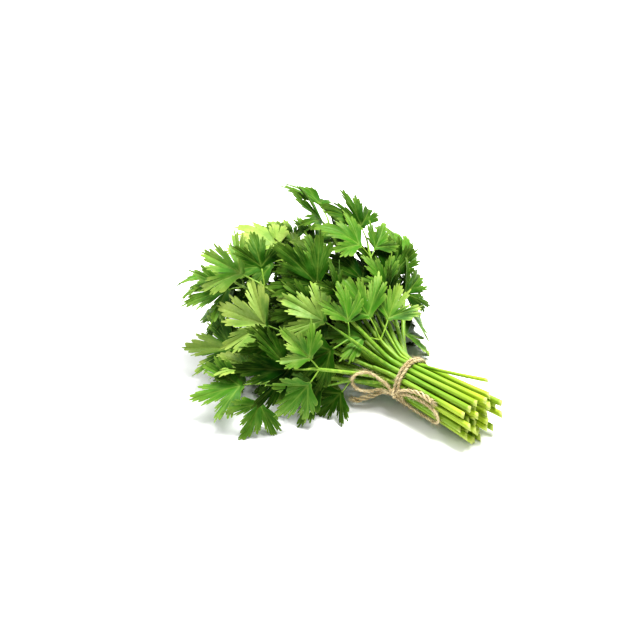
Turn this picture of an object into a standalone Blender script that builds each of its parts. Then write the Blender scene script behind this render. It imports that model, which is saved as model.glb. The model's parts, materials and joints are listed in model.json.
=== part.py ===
# Bunch of flat-leaf parsley tied with jute twine, lying on a surface.
# Blender 4.5, metres. +X runs along the stems to their cut ends and +Z is up; the surface is z = 0.
# Each sprig is one solid: a stem, its side stalks and its leaf blades. The twine is a tie with a bow.
import math
import random

import bmesh
import bpy
from mathutils import Matrix, Quaternion, Vector
from mathutils.bvhtree import BVHTree

MM = 0.001

# Bundle of stems, packed in rings round a middle stem where the twine holds them
STEM_RINGS = 3
STEM_PITCH = 4.7 * MM
STEM_RADIUS_CUT = 2.4 * MM
STEM_RADIUS_TIE = 2.1 * MM
STEM_RADIUS_FORK = 1.2 * MM
STEM_RADIUS_TIP = 0.8 * MM
STALK_RADIUS = 0.9 * MM
CUT_LENGTH = 73 * MM
CUT_LENGTH_SPREAD = 7 * MM
CUT_FLARE = 1.26
CUT_HEIGHT = STEM_RINGS * STEM_PITCH * CUT_FLARE + STEM_RADIUS_CUT
TIE_HEIGHT = 22 * MM
TIE_HALF = 5 * MM
STEM_GAP = 0.35 * MM
STRAY_STEM = 22
STRAY_FLARE = 2.1
STRAY_SHARE = 0.6

# What rests on the surface is cut flat there: the lowest stem's end and the tips of low leaves
LOWEST_SHARE = -0.99
SEAT_BITE = 0.8 * MM
LEAF_BITE = 0.4 * MM

# Head of leaves, seen from the waist. Its far side, +Y, is the narrower one
FAN_ANGLE = math.radians(58)
FAR_FAN_ANGLE = math.radians(47)
HEAD_TILT = math.radians(14)
HEAD_RISE = math.radians(28)
HEAD_REACH = 213 * MM
SIDE_REACH = 124 * MM
HEAD_HEIGHT = 116 * MM
LOWEST_FORK = 8 * MM
SHORTEST_SHARE = (0.9, 0.75, 0.5, 0.22)
LOWER_FORK = 0.62
LOWER_FORK_SPAN = 65 * MM

# Leaf blades. Each is three leaflets cut to the rib, given as (angle from the rib, reach) of one half
BLADE_THICKNESS = 0.85 * MM
BLADE_REACH = 41 * MM
SIDE_BLADE_REACH = 35 * MM
BLADE_HALF = ((5, 1.0), (17, 0.8), (26, 0.42), (39, 0.88), (60, 0.84), (104, 0.2))
BLADE_HEEL = 0.17
RACHIS = 24 * MM
SIDE_STALK = 16 * MM
LOWER_STALK = 24 * MM
BLADE_GAP = 0.45 * MM
LOW_BLADE = 5 * MM
TRIES = 160
SEED = 23

# Twine: a tie of two turns knotted on the near side, and a bow of two loops and two tails that lie on the
# stems. TIE_AT is the tie's place along X from the bundle's waist. A place on the stems is (distance along X
# from the tie, degrees round the bundle from its top).
TWINE_RADIUS = 1.2 * MM
TWINE_GAP = 0.35 * MM
TWINE_STEP = 5 * MM
TIE_AT = 4.5 * MM
TURN_OFFSETS = (-1.5 * MM, 1.5 * MM)
TURN_POINTS = 20
KNOT_ANGLE = 95
KNOT_SIZE = (4.0 * MM, 3.4 * MM, 2.4 * MM)
BOW = {
    "bow_loop_left": (
        (-5.2, 89), (-13.5, 73), (-19.5, 66), (-24, 69), (-25.5, 78), (-23, 90), (-16, 100), (-5.4, 99),
    ),
    "bow_loop_right": (
        (5.4, 102), (8.5, 115), (15.5, 126), (24.5, 129), (33.5, 127), (40.5, 116), (43, 101), (41, 88),
        (35.5, 81), (27.5, 78), (18.5, 79), (9.5, 85), (5.4, 92),
    ),
    "bow_tail_left": ((-5.0, 110), (-12.5, 117), (-19.5, 119), (-31, 118)),
    "bow_tail_right": ((5.0, 82), (9.5, 74), (17.5, 66), (25.5, 63), (35, 66)),
}
# Middle of the whole bunch on the surface, seen from the waist: it becomes the origin
BOX_MIDDLE = Vector((-0.0626, -0.0090, 0))

# Kept free of leaves so that the bow shows: from and to, and how wide
BOW_VIEW = (Vector((-0.02, -0.036, 0.035)), Vector((0.02, -0.08, 0.07)), 0.018)


def clear_scene():
    for obj in list(bpy.data.objects):
        bpy.data.objects.remove(obj, do_unlink=True)


def lerp(a, b, t):
    return a + (b - a) * t


def turned(vector, axis, degrees):
    return Quaternion(axis, math.radians(degrees)) @ vector


def facing(direction, normal):
    """Axes with X along direction and Z as near to normal as that allows."""
    x = direction.normalized()
    y = normal.cross(x).normalized()
    return Matrix((x, y, x.cross(y))).transposed()


def stem_places():
    """(across, up) of each stem in the bundle, in shares of its radius, the middle stem first."""
    places = [(0.0, 0.0)]
    for ring in range(1, STEM_RINGS + 1):
        for k in range(6 * ring):
            angle = math.tau * (k + 0.5) / (6 * ring)
            share = ring / STEM_RINGS
            places.append((share * math.cos(angle), share * math.sin(angle)))
    return places


def reach_towards(across, rise):
    """How far from the tie the leaf tips come in a direction: an oval fan with a flat top."""
    reach = math.hypot(HEAD_REACH * math.cos(across), SIDE_REACH * math.sin(across))
    if rise > 0:
        reach = min(reach, (HEAD_HEIGHT - TIE_HEIGHT) / math.sin(rise))
    return reach


def bezier(points, t):
    """A point of the curve with four control points."""
    a, b, c, d = points
    s = 1 - t
    return a * s**3 + b * (3 * s * s * t) + c * (3 * s * t * t) + d * t**3


def stem_route(index, place, length_share, sway, rng):
    """One stem's line from its cut end to its fork, a radius at each point, and the forks with their axes."""
    u, v = place
    across = (FAR_FAN_ANGLE if u > 0 else FAN_ANGLE) * u + rng.uniform(-sway, sway)
    rise = HEAD_TILT + HEAD_RISE * v + rng.uniform(-sway, sway)
    towards = Vector((-math.cos(across) * math.cos(rise), math.sin(across) * math.cos(rise), math.sin(rise)))
    bundle = STEM_RINGS * STEM_PITCH
    tie = Vector((0, u * bundle, TIE_HEIGHT + v * bundle))
    far = reach_towards(across, rise) - RACHIS - 0.75 * BLADE_REACH
    fork = Vector((0, 0, TIE_HEIGHT)) + towards * far * length_share
    fork.z = max(fork.z, LOWEST_FORK)
    droop = rng.uniform(-0.1, 0.14) if v > 0 else rng.uniform(0, 0.24)
    heading = (towards - Vector((0, 0, droop))).normalized()
    leave = tie - Vector((TIE_HALF, 0, 0))
    span = (fork - leave).length
    control = (leave, leave - Vector((0.2 * span, 0, 0)), fork - heading * 0.35 * span, fork)

    stray = index == STRAY_STEM
    thin = STRAY_SHARE if stray else 1
    flare = STRAY_FLARE if stray else CUT_FLARE + rng.uniform(-0.025, 0.025)
    cut_x = CUT_LENGTH + rng.uniform(-1, 1) * CUT_LENGTH_SPREAD
    cut = Vector((cut_x, u * bundle * flare, CUT_HEIGHT + v * bundle * flare))
    if v < LOWEST_SHARE:
        cut.z = STEM_RADIUS_CUT - SEAT_BITE
    middle = Vector((cut_x * 0.55, lerp(tie.y, cut.y, 0.42), lerp(tie.z, cut.z, 0.48)))
    line = [
        (cut, STEM_RADIUS_CUT * thin),
        (middle, lerp(STEM_RADIUS_TIE, STEM_RADIUS_CUT, 0.5) * thin),
        (tie + Vector((TIE_HALF, 0, 0)), STEM_RADIUS_TIE * thin),
    ]
    long = span > LOWER_FORK_SPAN
    for t in (0, 0.2, 0.4, LOWER_FORK, 1) if long else (0, 0.3, 1):
        line.append((bezier(control, t), lerp(STEM_RADIUS_TIE, STEM_RADIUS_FORK, t) * thin))
    outward = Vector((-0.2, u, v if v > -0.4 else 0.5)) + Vector((0, 0, 0.4))
    outward += Vector((rng.uniform(-1, 1), rng.uniform(-1, 1), rng.uniform(-1, 1))) * 0.25
    forks = [{"at": fork, "axes": facing(heading, outward), "radius": line[-1][1], "last": True}]
    if long:
        at = bezier(control, LOWER_FORK)
        along = bezier(control, LOWER_FORK + 0.05) - at
        forks.append({"at": at, "axes": facing(along, outward), "radius": line[-2][1], "last": False})
    return line, forks


def tube_mesh(line, sides, grow):
    """Points and faces of a tube along a line, for measuring clearance."""
    points, faces = [], []
    for i, (place, radius) in enumerate(line):
        ahead = line[min(i + 1, len(line) - 1)][0] - line[max(i - 1, 0)][0]
        axes = facing(ahead, Vector((0.1, 0.2, 1)))
        for k in range(sides):
            angle = math.tau * k / sides
            around = axes @ Vector((0, math.cos(angle), math.sin(angle)))
            points.append(place + around * (radius + grow))
    for i in range(len(line) - 1):
        for k in range(sides):
            a, b = i * sides + k, i * sides + (k + 1) % sides
            faces.append((a, b, b + sides, a + sides))
    return points, faces


def blade_outline(size, rng):
    """The blade's edge as flat polar points, anticlockwise from its tip: (angle, reach)."""
    half = [(math.radians(a), r * size) for a, r in BLADE_HALF]
    edge = half + [(math.pi, BLADE_HEEL * size)] + [(-a, r) for a, r in reversed(half)]
    return [(a, r * rng.uniform(0.93, 1.05)) for a, r in edge]


def blade_height(angle, reach, size, bend):
    """How far a point of the blade stands above its node: the tips droop and the edges lift from the rib."""
    droop, fold = bend
    share = reach / size
    return size * (fold * share * abs(math.sin(angle)) - droop * share * share)


def blade_points(blade, grow=0):
    """The blade's middle surface as world points: its node first, then its edge."""
    points = [blade["node"]]
    for angle, reach in blade["edge"]:
        reach += grow
        height = blade_height(angle, reach, blade["size"], blade["bend"])
        local = Vector((reach * math.cos(angle), reach * math.sin(angle), height))
        points.append(blade["node"] + blade["axes"] @ local)
    return points


def blade_mesh(blade, grow):
    """Points and faces of a closed blade, for measuring clearance."""
    middle = blade_points(blade, grow)
    lift = blade["axes"] @ Vector((0, 0, BLADE_THICKNESS / 2 + grow))
    count = len(middle)
    points = [p + lift for p in middle] + [p - lift for p in middle]
    faces = []
    for k in range(1, count):
        after = k % (count - 1) + 1
        faces += [(0, k, after), (count, count + after, count + k), (k, k + count, after + count, after)]
    return points, faces


class Clearance:
    """What is already placed, and whether a new piece keeps clear of it."""

    def __init__(self):
        self.placed = []

    def add(self, owner, mesh):
        points, faces = mesh
        self.placed.append((owner, BVHTree.FromPolygons(points, faces), box_of(points)))

    def is_clear(self, mesh, but=None):
        points, faces = mesh
        tree = BVHTree.FromPolygons(points, faces)
        low, high = box_of(points)
        for owner, other, (other_low, other_high) in self.placed:
            if owner == but:
                continue
            if any(low[k] > other_high[k] or high[k] < other_low[k] for k in range(3)):
                continue
            if tree.overlap(other):
                return False
        return True


def box_of(points):
    return [min(p[k] for p in points) for k in range(3)], [max(p[k] for p in points) for k in range(3)]


def new_blade(node, axes, size, rng):
    bend = (rng.uniform(0.05, 0.34), rng.uniform(-0.05, 0.3))
    return {"node": node, "axes": axes, "size": size, "edge": blade_outline(size, rng), "bend": bend}


def lay_down(blade):
    """Lowers a blade that is near the surface until it touches it."""
    lowest = min(p.z for p in blade_mesh(blade, 0)[0])
    if 0 < lowest < LOW_BLADE:
        blade["node"] = blade["node"] - Vector((0, 0, lowest + LEAF_BITE))


def place_blade(owner, fork, side, clearance, rng):
    """Finds a stalk and blade on one side of a fork (0 is straight on) that keep clear of all the rest."""
    at, axes = fork["at"], fork["axes"]
    forward, up = axes.col[0], axes.col[2]
    reach, stalk_length = (BLADE_REACH, RACHIS) if side == 0 else (SIDE_BLADE_REACH, SIDE_STALK)
    if not fork["last"]:
        stalk_length = LOWER_STALK
    own = owner + " stem"
    for attempt in range(TRIES):
        wild = attempt / TRIES
        shrink = 1 - 0.35 * max(0, wild - 0.25)
        swing = side * rng.uniform(42, 64) + rng.uniform(-1, 1) * 26 * wild
        lift = rng.uniform(-10, 12) + rng.uniform(-1, 1) * 34 * wild
        heading = turned(forward, up, swing)
        heading = turned(heading, up.cross(heading).normalized(), -lift)
        roll = rng.uniform(-1, 1) * (14 + 40 * wild) - side * 10
        normal = turned(up, heading, roll)
        long = stalk_length * rng.uniform(0.8, 1.2) * shrink
        size = reach * rng.uniform(0.86, 1.08) * shrink
        blade_axes = facing(turned(heading, normal.cross(heading).normalized(), rng.uniform(0, 14)), normal)
        blade = new_blade(at + heading * long, blade_axes, size, rng)
        lay_down(blade)
        if min(p.z for p in blade_mesh(blade, 0)[0]) < -2 * LEAF_BITE:
            continue
        start = fork["radius"] if side == 0 else STALK_RADIUS
        inside = blade["node"] - blade_axes.col[0] * size * 0.06
        middle = lerp(at, blade["node"], 0.5) + up * long * 0.05
        stalk = [(at, start), (middle, lerp(start, STEM_RADIUS_TIP, 0.5)), (inside, STEM_RADIUS_TIP)]
        wide_stalk = tube_mesh(stalk, 4, BLADE_GAP)
        if min(p.z for p in wide_stalk[0]) < 0:
            continue
        if clearance.is_clear(blade_mesh(blade, BLADE_GAP), own) and clearance.is_clear(wide_stalk, own):
            clearance.add(owner, blade_mesh(blade, 0))
            clearance.add(own, tube_mesh(stalk, 4, 0))
            return {"stalk": stalk, "blade": blade, "side": side, "last": fork["last"]}
    return None


def outside_of_stems(lines, x, angle, lift=0):
    """The twine's place on the outside of the stems, at x and in a direction round the bundle from its top."""
    towards = Vector((0, -math.sin(math.radians(angle)), math.cos(math.radians(angle))))
    middle = Vector((x, 0, lerp(TIE_HEIGHT, CUT_HEIGHT, max(0, x) / CUT_LENGTH)))
    out = 0
    for line in lines:
        for (a, radius_a), (b, radius_b) in zip(line, line[1:]):
            if b.x <= x <= a.x:
                t = (a.x - x) / (a.x - b.x)
                slant = (a - b).length / (a.x - b.x)
                out = max(out, (lerp(a, b, t) - middle).dot(towards) + lerp(radius_a, radius_b, t) * slant)
    return middle + towards * (out + TWINE_GAP + TWINE_RADIUS + lift)


def through(stops, t):
    """A smooth curve through a list of stops (Catmull-Rom), t counting the stops."""
    k = min(int(t), len(stops) - 2)
    t -= k
    a, b, c, d = (Vector(stops[min(max(k + n, 0), len(stops) - 1)]) for n in (-1, 0, 1, 2))
    return 0.5 * (2 * b + (c - a) * t + (2 * a - 5 * b + 4 * c - d) * t**2 + (3 * b - a - 3 * c + d) * t**3)


def bow_line(lines, stops, lift):
    """The middle line of one free stretch of twine, with even steps along it."""
    fine = []
    for n in range(20 * (len(stops) - 1) + 1):
        x, angle = through(stops, n / 20)
        fine.append(outside_of_stems(lines, TIE_AT + x * MM, angle, lift))
    gone = [0]
    for a, b in zip(fine, fine[1:]):
        gone.append(gone[-1] + (b - a).length)
    count = max(4, round(gone[-1] / TWINE_STEP))
    line = []
    for n in range(count + 1):
        k = max(i for i, g in enumerate(gone) if g <= gone[-1] * n / count + 1e-9)
        line.append((fine[k], TWINE_RADIUS))
    return line


def turn_line(lines, x):
    return [(outside_of_stems(lines, x, 360 * k / TURN_POINTS), TWINE_RADIUS) for k in range(TURN_POINTS)]


def grow_bunch():
    """The stems, the twine on them, then every blade, each placed clear of all that is there already."""
    clearance = Clearance()
    sprigs = []
    for index, place in enumerate(stem_places()):
        ring = round(STEM_RINGS * math.hypot(*place))
        share = lerp(SHORTEST_SHARE[ring], 1.0, (index * 0.618034) % 1.0)
        name = f"sprig_{index + 1:02d}"
        rng = random.Random(f"{SEED} {name}")
        for attempt in range(TRIES):
            wild = attempt / TRIES
            line, forks = stem_route(index, place, share * (1 - 0.4 * wild), 0.05 + 0.12 * wild, rng)
            if clearance.is_clear(tube_mesh(line, 6, STEM_GAP)):
                break
        else:
            print(name, "has no clear route")
            continue
        clearance.add(name + " stem", tube_mesh(line, 6, 0))
        sprigs.append({"name": name, "line": line, "forks": forks, "leaves": []})

    lines = [sprig["line"] for sprig in sprigs]
    turns = [turn_line(lines, TIE_AT + x) for x in TURN_OFFSETS]
    bow = {}
    for name, stops in BOW.items():
        lift = 0
        while not clearance.is_clear(tube_mesh(bow_line(lines, stops, lift), 8, TWINE_GAP)):
            lift += 0.2 * MM
        bow[name] = bow_line(lines, stops, lift)
        print(name, "stands off by", round(lift / MM, 1), "mm")
    for line in [turn + turn[:1] for turn in turns] + list(bow.values()):
        clearance.add("twine", tube_mesh(line, 8, 0))
    start, end, width = BOW_VIEW
    clearance.add("twine", tube_mesh([(start, width), (end, width)], 8, 0))

    for last, side in ((True, 0), (True, 1), (True, -1), (False, 1), (False, -1)):
        for sprig in sprigs:
            rng = random.Random(f"{SEED} {sprig['name']} {last} {side}")
            for fork in sprig["forks"]:
                leaf = place_blade(sprig["name"], fork, side, clearance, rng) if fork["last"] == last else None
                if leaf:
                    sprig["leaves"].append(leaf)
    return sprigs, turns, bow


def material(name, colour, roughness):
    made = bpy.data.materials.new(name)
    made.use_nodes = True
    shader = made.node_tree.nodes["Principled BSDF"]
    shader.inputs["Base Color"].default_value = (*colour, 1)
    shader.inputs["Roughness"].default_value = roughness
    shader.inputs["Metallic"].default_value = 0.0
    return made


def mesh_object(name, mesh, collection, finish):
    obj = bpy.data.objects.new(name, mesh)
    collection.objects.link(obj)
    mesh.materials.clear()
    mesh.materials.append(finish)
    return obj


def tube_object(name, line, resolution, collection, finish, closed=False):
    """A round tube along a line of (place, radius), made as a bevelled curve and turned into a closed mesh."""
    curve = bpy.data.curves.new(name, "CURVE")
    curve.dimensions = "3D"
    curve.bevel_depth = 1.0
    curve.bevel_resolution = resolution
    curve.use_fill_caps = not closed
    spline = curve.splines.new("POLY")
    spline.use_cyclic_u = closed
    spline.points.add(len(line) - 1)
    for point, (place, radius) in zip(spline.points, line):
        point.co = (*place, 1)
        point.radius = radius
    guide = bpy.data.objects.new(name + "_line", curve)
    collection.objects.link(guide)
    graph = bpy.context.evaluated_depsgraph_get()
    mesh = bpy.data.meshes.new_from_object(guide.evaluated_get(graph))
    bpy.data.objects.remove(guide, do_unlink=True)
    made = bmesh.new()
    made.from_mesh(mesh)
    bmesh.ops.remove_doubles(made, verts=made.verts, dist=1e-6)
    bmesh.ops.recalc_face_normals(made, faces=made.faces)
    made.to_mesh(mesh)
    made.free()
    return mesh_object(name, mesh, collection, finish)


def blade_object(name, blade, collection, finish):
    """A thin arched blade: a fan of faces drawn out to the edge, then extruded to its thickness."""
    points = blade_points(blade)
    made = bmesh.new()
    bmesh.ops.create_circle(made, cap_ends=True, cap_tris=True, segments=len(points) - 1, radius=1)
    hub = [v for v in made.verts if len(v.link_edges) == len(points) - 1]
    ring = sorted((v for v in made.verts if v not in hub), key=lambda v: math.atan2(v.co.y, v.co.x) % math.tau)
    lift = blade["axes"] @ Vector((0, 0, BLADE_THICKNESS))
    for vert, place in zip(hub + ring, points):
        vert.co = place - lift / 2
    whole = made.faces[:] + made.edges[:]
    raised = bmesh.ops.extrude_face_region(made, geom=whole, use_keep_orig=True)
    top = [item for item in raised["geom"] if isinstance(item, bmesh.types.BMVert)]
    bmesh.ops.translate(made, verts=top, vec=lift)
    bmesh.ops.recalc_face_normals(made, faces=made.faces)
    mesh = bpy.data.meshes.new(name)
    made.to_mesh(mesh)
    made.free()
    return mesh_object(name, mesh, collection, finish)


def combine(base, others, operation):
    """Joins a collection's objects to base, or cuts them from it, by one Boolean, applied."""
    change = base.modifiers.new(operation.lower(), "BOOLEAN")
    change.operation = operation
    change.operand_type = "COLLECTION"
    change.collection = others
    change.solver = "EXACT"
    graph = bpy.context.evaluated_depsgraph_get()
    mesh = bpy.data.meshes.new_from_object(base.evaluated_get(graph))
    mesh.name = base.name
    base.modifiers.clear()
    base.data = mesh


def build_sprig(sprig, parts, repeats, below, finish):
    line = list(sprig["line"])
    for leaf in sprig["leaves"]:
        if leaf["side"] == 0:
            line += leaf["stalk"][1:]
        else:
            tube_object("stalk", leaf["stalk"], 0, repeats, finish)
        blade_object("blade", leaf["blade"], repeats, finish)
    stem = tube_object(sprig["name"], line, 1, parts, finish)
    if len(repeats.objects):
        combine(stem, repeats, "UNION")
        for obj in list(repeats.objects):
            bpy.data.objects.remove(obj, do_unlink=True)
    if min(v.co.z for v in stem.data.vertices) < 0:
        combine(stem, below, "DIFFERENCE")


def knot_object(lines, collection, finish):
    middle = outside_of_stems(lines, TIE_AT, KNOT_ANGLE)
    out = (middle - Vector((0, 0, TIE_HEIGHT))).normalized()
    axes = facing(Vector((1, 0, 0)), out).to_4x4()
    place = Matrix.Translation(middle + out * (KNOT_SIZE[2] - TWINE_RADIUS))
    made = bmesh.new()
    bmesh.ops.create_uvsphere(made, u_segments=10, v_segments=7, radius=1)
    bmesh.ops.transform(made, verts=made.verts, matrix=place @ axes @ Matrix.Diagonal((*KNOT_SIZE, 1)))
    mesh = bpy.data.meshes.new("knot")
    made.to_mesh(mesh)
    made.free()
    return mesh_object("knot", mesh, collection, finish)


def below_surface(collection):
    made = bmesh.new()
    bmesh.ops.create_cube(made, size=1)
    bmesh.ops.translate(made, verts=made.verts, vec=(0, 0, -0.5))
    mesh = bpy.data.meshes.new("below_surface")
    made.to_mesh(mesh)
    made.free()
    cutter = bpy.data.objects.new("below_surface", mesh)
    collection.objects.link(cutter)
    cutter.hide_render = True
    cutter.display_type = "WIRE"


def main():
    clear_scene()
    parts = bpy.data.collections.new("parsley_bunch")
    repeats = bpy.data.collections.new("repeats")
    below = bpy.data.collections.new("cutters")
    for collection in (parts, repeats, below):
        bpy.context.scene.collection.children.link(collection)
    green = material("parsley_green", (0.13, 0.30, 0.03), 0.5)
    jute = material("jute", (0.50, 0.36, 0.22), 0.9)
    below_surface(below)

    sprigs, turns, bow = grow_bunch()
    for sprig in sprigs:
        build_sprig(sprig, parts, repeats, below, green)

    tie = tube_object("twine_tie", turns[0], 2, parts, jute, closed=True)
    tube_object("turn", turns[1], 2, repeats, jute, closed=True)
    knot_object([sprig["line"] for sprig in sprigs], repeats, jute)
    combine(tie, repeats, "UNION")
    for obj in list(repeats.objects):
        bpy.data.objects.remove(obj, do_unlink=True)
    for name, line in bow.items():
        tube_object(name, line, 2, parts, jute)
    for obj in parts.objects:
        obj.data.transform(Matrix.Translation(-BOX_MIDDLE))
    print(sum(len(s["leaves"]) for s in sprigs), "blades on", len(sprigs), "sprigs")


main()
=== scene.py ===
import json
import math
import random

import bmesh
import bpy
import numpy as np
from mathutils import Matrix, Quaternion, Vector
from mathutils.bvhtree import BVHTree

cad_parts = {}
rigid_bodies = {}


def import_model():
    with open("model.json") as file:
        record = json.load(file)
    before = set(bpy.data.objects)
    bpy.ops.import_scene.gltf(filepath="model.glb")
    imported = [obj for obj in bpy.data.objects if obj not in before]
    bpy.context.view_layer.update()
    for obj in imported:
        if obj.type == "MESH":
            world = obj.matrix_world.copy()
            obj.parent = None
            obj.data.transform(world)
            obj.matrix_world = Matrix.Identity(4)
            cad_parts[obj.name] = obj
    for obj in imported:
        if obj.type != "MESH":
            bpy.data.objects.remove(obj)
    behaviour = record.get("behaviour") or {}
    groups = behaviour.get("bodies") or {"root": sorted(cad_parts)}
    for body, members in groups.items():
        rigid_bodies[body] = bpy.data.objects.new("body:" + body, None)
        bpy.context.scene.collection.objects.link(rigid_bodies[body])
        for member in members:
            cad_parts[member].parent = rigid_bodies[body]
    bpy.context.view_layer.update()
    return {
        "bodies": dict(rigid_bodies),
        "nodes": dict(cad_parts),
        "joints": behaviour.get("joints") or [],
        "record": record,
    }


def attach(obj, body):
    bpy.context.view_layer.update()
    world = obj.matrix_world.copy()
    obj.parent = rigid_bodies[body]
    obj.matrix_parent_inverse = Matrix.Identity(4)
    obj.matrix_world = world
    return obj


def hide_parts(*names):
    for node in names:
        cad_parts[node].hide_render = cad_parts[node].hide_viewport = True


mm = 0.001
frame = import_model()
scene = bpy.context.scene

# The camera stands at the photograph's angle
view = {"azimuth": 42, "elevation": 34, "target": (-0.028, 0.0102, 0.0345), "distance": 1.21, "lens": 85}


def addObject(name, data, at=(0, 0, 0), towards=None):
    made = bpy.data.objects.new(name, data)
    made.location = at
    if towards is not None:
        made.rotation_mode = "QUATERNION"
        made.rotation_quaternion = towards.to_track_quat("-Z", "Y")
    scene.collection.objects.link(made)
    return made


def makeCamera():
    turn, rise = math.radians(view["azimuth"]), math.radians(view["elevation"])
    back = Vector((math.sin(turn) * math.cos(rise), -math.cos(turn) * math.cos(rise), math.sin(rise)))
    data = bpy.data.cameras.new("camera")
    data.lens = view["lens"]
    scene.camera = addObject("camera", data, Vector(view["target"]) + back * view["distance"], -back)


makeCamera()

# The bunch grows by the same rule and the same draws as the solids, in metres with its waist at x = 0.
boxMiddle = Vector((-0.0626, -0.0090, 0))  # the solids' origin, seen from the waist
stems = {
    "rings": 3, "pitch": 4.7 * mm, "radiusCut": 2.4 * mm, "radiusTie": 2.1 * mm, "radiusFork": 1.2 * mm,
    "radiusTip": 0.8 * mm, "stalkRadius": 0.9 * mm, "cutLength": 73 * mm, "cutSpread": 7 * mm,
    "cutFlare": 1.26, "tieHeight": 22 * mm, "tieHalf": 5 * mm, "gap": 0.35 * mm,
    "stray": 22, "strayFlare": 2.1, "strayShare": 0.6, "lowestShare": -0.99, "seatBite": 0.8 * mm,
}
stems["cutHeight"] = stems["rings"] * stems["pitch"] * stems["cutFlare"] + stems["radiusCut"]
head = {
    "fan": math.radians(58), "farFan": math.radians(47), "tilt": math.radians(14), "rise": math.radians(28),
    "reach": 213 * mm, "side": 124 * mm, "height": 116 * mm, "lowestFork": 8 * mm,
    "shortest": (0.9, 0.75, 0.5, 0.22), "lowerFork": 0.62, "lowerForkSpan": 65 * mm, "tries": 160, "seed": 23,
}
blades = {
    "thickness": 0.85 * mm, "reach": 41 * mm, "sideReach": 35 * mm, "rachis": 24 * mm, "sideStalk": 16 * mm,
    "lowerStalk": 24 * mm, "gap": 0.45 * mm, "low": 5 * mm, "bite": 0.4 * mm, "heel": 0.17,
    "half": ((5, 1.0), (17, 0.8), (26, 0.42), (39, 0.88), (60, 0.84), (104, 0.2)),
}
twine = {
    "radius": 1.2 * mm, "gap": 0.35 * mm, "step": 5 * mm,
    "tieAt": 4.5 * mm, "turnOffsets": (-1.5 * mm, 1.5 * mm), "turnPoints": 20, "knotAngle": 95,
    "viewFrom": Vector((-0.02, -0.036, 0.035)), "viewTo": Vector((0.02, -0.08, 0.07)), "viewWidth": 0.018,
    "bow": {  # (mm along the stems from the tie, degrees round them from their top)
        "bow_loop_left": (
            (-5.2, 89), (-13.5, 73), (-19.5, 66), (-24, 69), (-25.5, 78), (-23, 90), (-16, 100), (-5.4, 99),
        ),
        "bow_loop_right": (
            (5.4, 102), (8.5, 115), (15.5, 126), (24.5, 129), (33.5, 127), (40.5, 116), (43, 101), (41, 88),
            (35.5, 81), (27.5, 78), (18.5, 79), (9.5, 85), (5.4, 92),
        ),
        "bow_tail_left": ((-5.0, 110), (-12.5, 117), (-19.5, 119), (-31, 118)),
        "bow_tail_right": ((5.0, 82), (9.5, 74), (17.5, 66), (25.5, 63), (35, 66)),
    },
}


def lerp(a, b, t):
    return a + (b - a) * t


def turned(vector, axis, degrees):
    return Quaternion(axis, math.radians(degrees)) @ vector


def facing(direction, normal):  # X along direction, Z near to normal
    x = direction.normalized()
    y = normal.cross(x).normalized()
    return Matrix((x, y, x.cross(y))).transposed()


def boxOf(points):
    return [min(p[k] for p in points) for k in range(3)], [max(p[k] for p in points) for k in range(3)]


def stemPlaces():
    places = [(0.0, 0.0)]
    for ring in range(1, stems["rings"] + 1):
        for k in range(6 * ring):
            angle = math.tau * (k + 0.5) / (6 * ring)
            share = ring / stems["rings"]
            places.append((share * math.cos(angle), share * math.sin(angle)))
    return places


def reachTowards(across, rise):
    reach = math.hypot(head["reach"] * math.cos(across), head["side"] * math.sin(across))
    if rise > 0:
        reach = min(reach, (head["height"] - stems["tieHeight"]) / math.sin(rise))
    return reach


def bezier(points, t):
    a, b, c, d = points
    s = 1 - t
    return a * s**3 + b * (3 * s * s * t) + c * (3 * s * t * t) + d * t**3


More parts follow.
